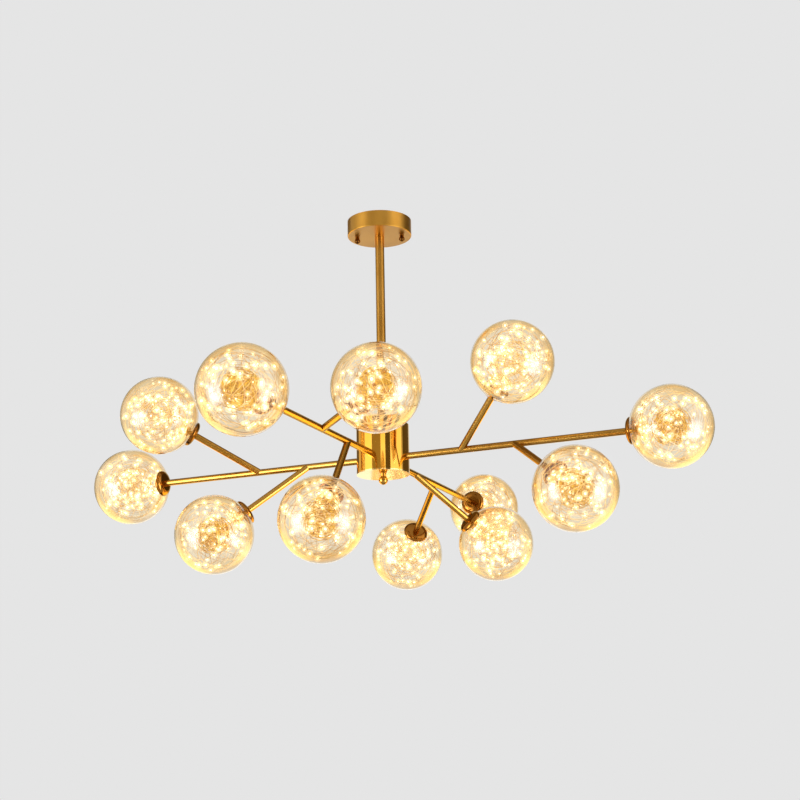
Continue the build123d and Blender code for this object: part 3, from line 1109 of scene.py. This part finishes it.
@dataclass
class Arm:
    """One branched arm with its three globes and their light strings."""

    side: ArmSide
    joints: dict[str, dict[str, Any]]
    globe: Globe = field(default_factory=Globe)
    string: LightString = field(default_factory=LightString)

    @property
    def body(self) -> str:
        """The arm's body."""
        return f"{self.side.value}_arm"

    def axis(self, joint: str) -> Vector:
        """Direction of a joint's axis."""
        return Vector(self.joints[joint]["axis"]).normalized()

    def lamp_place(self, lamp: Lamp) -> Matrix:
        """Frame at a globe's centre, with Z away from its cup and X in the plane of arm and branch.

        Args:
            lamp: which of the arm's globes.

        Returns:
            The frame as a matrix.
        """
        reach = self.axis(f"{self.body}_roll")
        joint = f"{self.side.value}_{lamp.value}_globe_unscrew"
        axis = self.axis(joint)
        if lamp is Lamp.TIP:
            inner = self.axis(f"{self.side.value}_{Lamp.INNER.value}_globe_unscrew")
            across = (inner - reach * inner.dot(reach)).normalized()
        else:
            across = (axis * axis.dot(reach) - reach).normalized()
        turned = Matrix((across, axis.cross(across), axis)).transposed().to_4x4()
        return Matrix.Translation(Vector(self.joints[joint]["pos_m"])) @ turned

    def build(self, winder: WindingTree, beader: BeadTree) -> None:
        """Builds the globes and strings and dresses the arm's own solids.

        Args:
            winder: the tree that draws wire.
            beader: the tree that strings beads.
        """
        places = {lamp: self.lamp_place(lamp) for lamp in Lamp}
        for lamp, place in places.items():
            self.globe.build(f"{self.side.value}_{lamp.value}_globe", place)
        loose = LOOSE_LAMPS[self.side]
        sorted_places = {
            Packing.ANY: list(places.values()),
            Packing.TIGHT: [place for lamp, place in places.items() if lamp not in loose],
            Packing.LOOSE: [places[lamp] for lamp in loose],
            Packing.DENSE: [places[lamp] for lamp in DENSE_LAMPS.get(self.side, ())],
        }
        self.string.build(self.body, sorted_places, winder, beader)
        for part, finish in (
            ("tube", Finish.TUBE_BRASS),
            ("branches", Finish.TUBE_BRASS),
            ("cups", Finish.CUP_BRASS),
            ("lampholders", Finish.HOLDER_BRASS),
            ("leads", Finish.SHEATH),
        ):
            dress(f"{self.body}_{part}", finish)


@dataclass
class Fixture:
    """Everything that stays put, from the ceiling bracket down to the finial."""

    steel: tuple[str, ...] = (
        "ceiling_bracket",
        "bracket_studs",
        "bracket_stud_nuts",
        "canopy_lock_nut",
        "hub_lock_nut",
        "hub_strap",
        "tie_rod",
        "arm_sockets",
        "arm_lock_nuts",
    )

    def build(self) -> None:
        """Dresses the fixture's solids."""
        for finish, nodes in {
            Finish.SPUN_BRASS: ("canopy",),
            Finish.STEM_BRASS: ("stem",),
            Finish.DARK_BRASS: ("canopy_ball_nuts",),
            Finish.HUB_BRASS: ("hub_shell",),
            Finish.PLATE_BRASS: ("hub_bottom_plate",),
            Finish.TUBE_BRASS: ("finial",),
            Finish.STEEL: self.steel,
            Finish.SHEATH: ("supply_cable", "hub_jumpers"),
            Finish.WHITE_PLASTIC: ("ceiling_terminal_block",),
            Finish.BLACK_PLASTIC: ("led_driver",),
        }.items():
            for node in nodes:
                dress(node, finish)


@dataclass(frozen=True)
class Card:
    """A studio card round the object, seen only in reflections.

    Bearings are in degrees from the camera's side of the object, positive to the camera's right.
    Elevations are in degrees above the level of the hub. A soft card fades out over that share of
    its width and height.
    """

    name: str
    bearings: Span
    elevations: Span
    strength: float
    colour: Colour = (1.0, 0.97, 0.92)
    softness: float = 0.0
    steps: int = 12

    def material(self) -> bpy.types.Material:
        """Builds the glow, which fades towards the edges of a soft card.

        Returns:
            The finished material.
        """
        material, graph = new_shader(self.name)
        glow = {"Color": (*self.colour, 1.0), "Strength": self.strength}
        light = graph.node("ShaderNodeEmission", None, glow)
        if self.softness:
            place = graph.node("ShaderNodeTexCoord", output="UV")
            across = graph.node("ShaderNodeSeparateXYZ", None, {0: place}, output="X")
            up = graph.node("ShaderNodeSeparateXYZ", None, {0: place}, output="Y")
            inside = [share.least(1.0 - share) * (1.0 / self.softness) for share in (across, up)]
            fade = inside[0].least(1.0) * inside[1].least(1.0)
            clear = graph.node("ShaderNodeBsdfTransparent")
            light = graph.node("ShaderNodeMixShader", None, {0: fade, 1: clear, 2: light})
        graph.node("ShaderNodeOutputMaterial", None, {"Surface": light})
        material.cycles.emission_sampling = "NONE"
        return material

    def mesh(self, studio: Studio) -> bpy.types.Mesh:
        """Draws the card on the studio's circle, with UVs that run from 0 to 1 across and up.

        Args:
            studio: gives the circle.

        Returns:
            The card's mesh, dressed.
        """
        first, last = self.bearings
        points, shares = [], []
        for step, end in product(range(self.steps + 1), (0, 1)):
            share = step / self.steps
            foot = studio.heading(first + (last - first) * share) * studio.card_distance
            rise = studio.card_distance * math.tan(math.radians(self.elevations[end]))
            points.append(foot + Vector((0.0, 0.0, studio.card_level + rise)))
            shares.append((share, float(end)))
        faces = [(2 * i, 2 * i + 2, 2 * i + 3, 2 * i + 1) for i in range(self.steps)]
        mesh = bpy.data.meshes.new(self.name)
        mesh.from_pydata(points, [], faces)
        layer = mesh.uv_layers.new(name="card")
        for loop in mesh.loops:
            layer.data[loop.index].uv = shares[loop.vertex_index]
        mesh.materials.append(self.material())
        return mesh


# Elevations that the walls of hub and canopy mirror to the camera
HUB_BAND: Span = (6.0, 20.0)
CANOPY_BAND: Span = (20.0, 40.0)

# Colours of the cards
SKY_WHITE: Colour = (0.80, 0.90, 1.0)
WARM_WHITE: Colour = (1.0, 0.98, 0.94)
DIM_GOLD: Colour = (1.0, 0.80, 0.50)
AMBER: Colour = (1.0, 0.72, 0.20)


@dataclass
class Studio:
    """Pale surroundings, soft light, reflecting cards and the camera of the photograph.

    An unturned camera looks straight down, and level_turn lifts its view to the level.
    """

    background: Colour = linear(229, 229, 229)
    camera_at: tuple[float, float, float] = (0.2642, -2.3184, -0.9129)
    level_turn: float = 90.0
    camera_bearing: float = 5.83
    camera_pitch: float = 14.93
    camera_roll: float = -1.07
    lens: float = 71.21
    sensor: float = 36.0
    floor_level: float = -4.5
    floor_size: float = 40.0
    floor_finish: MouldedFinish = MouldedFinish(
        "floor_paper", (0.995, 0.995, 0.995), (0.985, 0.985, 0.985), roughness=0.8, gloss=0.0
    )
    card_level: float = -0.38
    card_distance: float = 3.0
    cards: tuple[Card, ...] = (
        Card("left_softbox", (-84.0, -38.0), (-36.0, 12.0), 12.0, SKY_WHITE, softness=0.3),
        Card("left_softbox_top", (-84.0, -48.0), HUB_BAND, 2.3, WARM_WHITE),
        Card("left_softbox_side", (-128.0, -84.0), HUB_BAND, 1.0, (1.0, 0.92, 0.78)),
        Card("left_flag", (-48.0, -9.0), (-6.0, 20.0), 0.50, (1.0, 0.84, 0.52)),
        Card("middle_strip", (-9.0, 11.0), (2.0, 20.0), 1.9, (1.0, 0.97, 0.80)),
        Card("right_flag", (11.0, 33.0), (-6.0, 20.0), 0.17, (1.0, 0.82, 0.50)),
        Card("right_softbox", (36.0, 82.0), (-40.0, 11.0), 12.0, SKY_WHITE, softness=0.3),
        Card("right_softbox_top", (33.0, 88.0), HUB_BAND, 1.9),
        Card("canopy_left_strip", (-80.0, -46.0), CANOPY_BAND, 1.4),
        Card("canopy_right_strip", (42.0, 84.0), CANOPY_BAND, 1.7),
        Card("far_right_flag", (96.0, 150.0), (-6.0, 40.0), 0.14, DIM_GOLD),
        Card("far_left_flag", (-158.0, -128.0), (-6.0, 40.0), 0.16, DIM_GOLD),
        Card("rear_glow", (160.0, 200.0), (-14.5, -3.0), 1.6, WARM_WHITE),
        Card("low_rear_flag", (95.0, 265.0), (-74.0, -48.0), 0.16, (1.0, 0.66, 0.30)),
        Card("high_rear_flag", (95.0, 265.0), (40.0, 76.0), 0.30, (1.0, 0.72, 0.36)),
        Card("right_rim_glow", (104.0, 168.0), (-48.0, 4.0), 4.4, AMBER, softness=0.25),
        Card("left_rim_glow", (-168.0, -108.0), (-48.0, 4.0), 4.2, AMBER, softness=0.25),
    )

    def heading(self, bearing: float) -> Vector:
        """Level direction from the object at a bearing from the camera's side."""
        angle = math.radians(self.camera_bearing + bearing)
        return Vector((math.sin(angle), -math.cos(angle), 0.0))

    def build_world(self) -> None:
        """Lights everything evenly from a pale surround."""
        world = bpy.data.worlds.new("pale_surround")
        world.use_nodes = True
        world.node_tree.nodes.clear()
        graph = Graph(world.node_tree)
        surround = {"Color": (*self.background, 1.0), "Strength": 1.0}
        glow = graph.node("ShaderNodeBackground", None, surround)
        graph.node("ShaderNodeOutputWorld", None, {"Surface": glow})
        bpy.context.scene.world = world

    def build_floor(self) -> None:
        """Lays the pale floor, which reflections leave out."""
        half = self.floor_size / 2
        corners = [(x, y, self.floor_level) for x, y in product((-half, half), repeat=2)]
        mesh = bpy.data.meshes.new("studio_floor")
        mesh.from_pydata(corners, [], [(0, 2, 3, 1)])
        mesh.materials.append(self.floor_finish.material())
        floor = bpy.data.objects.new("studio_floor", mesh)
        bpy.context.scene.collection.objects.link(floor)
        floor.visible_glossy = False

    def build_card(self, card: Card) -> None:
        """Hangs one card on a circle round the object.

        Args:
            card: where it hangs and how bright it is.
        """
        piece = bpy.data.objects.new(card.name, card.mesh(self))
        bpy.context.scene.collection.objects.link(piece)
        for ray in ("camera", "diffuse", "transmission", "volume_scatter", "shadow"):
            setattr(piece, f"visible_{ray}", False)

    def build_camera(self) -> None:
        """Sets up the camera of the photograph."""
        data = bpy.data.cameras.new("photo_camera")
        data.lens = self.lens
        data.sensor_width = self.sensor
        camera = bpy.data.objects.new("photo_camera", data)
        turn = (
            Matrix.Rotation(math.radians(self.camera_bearing), 4, "Z")
            @ Matrix.Rotation(math.radians(self.level_turn + self.camera_pitch), 4, "X")
            @ Matrix.Rotation(math.radians(self.camera_roll), 4, "Z")
        )
        camera.matrix_world = Matrix.Translation(Vector(self.camera_at)) @ turn
        bpy.context.scene.collection.objects.link(camera)
        bpy.context.scene.camera = camera

    def build(self) -> None:
        """Builds the whole studio."""
        bpy.context.scene.view_settings.view_transform = "Standard"
        self.build_world()
        self.build_floor()
        for card in self.cards:
            self.build_card(card)
        self.build_camera()


def main() -> None:
    """Loads the frame, dresses the chandelier and sets up the studio."""
    logging.basicConfig(level=logging.INFO, format="%(name)s: %(message)s")
    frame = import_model()
    joints = {joint["name"]: joint for joint in frame["joints"]}
    Fixture().build()
    winder, beader = WindingTree(), BeadTree()
    for side in ArmSide:
        Arm(side, joints).build(winder, beader)
    Studio().build()


if __name__ == "__main__":
    main()
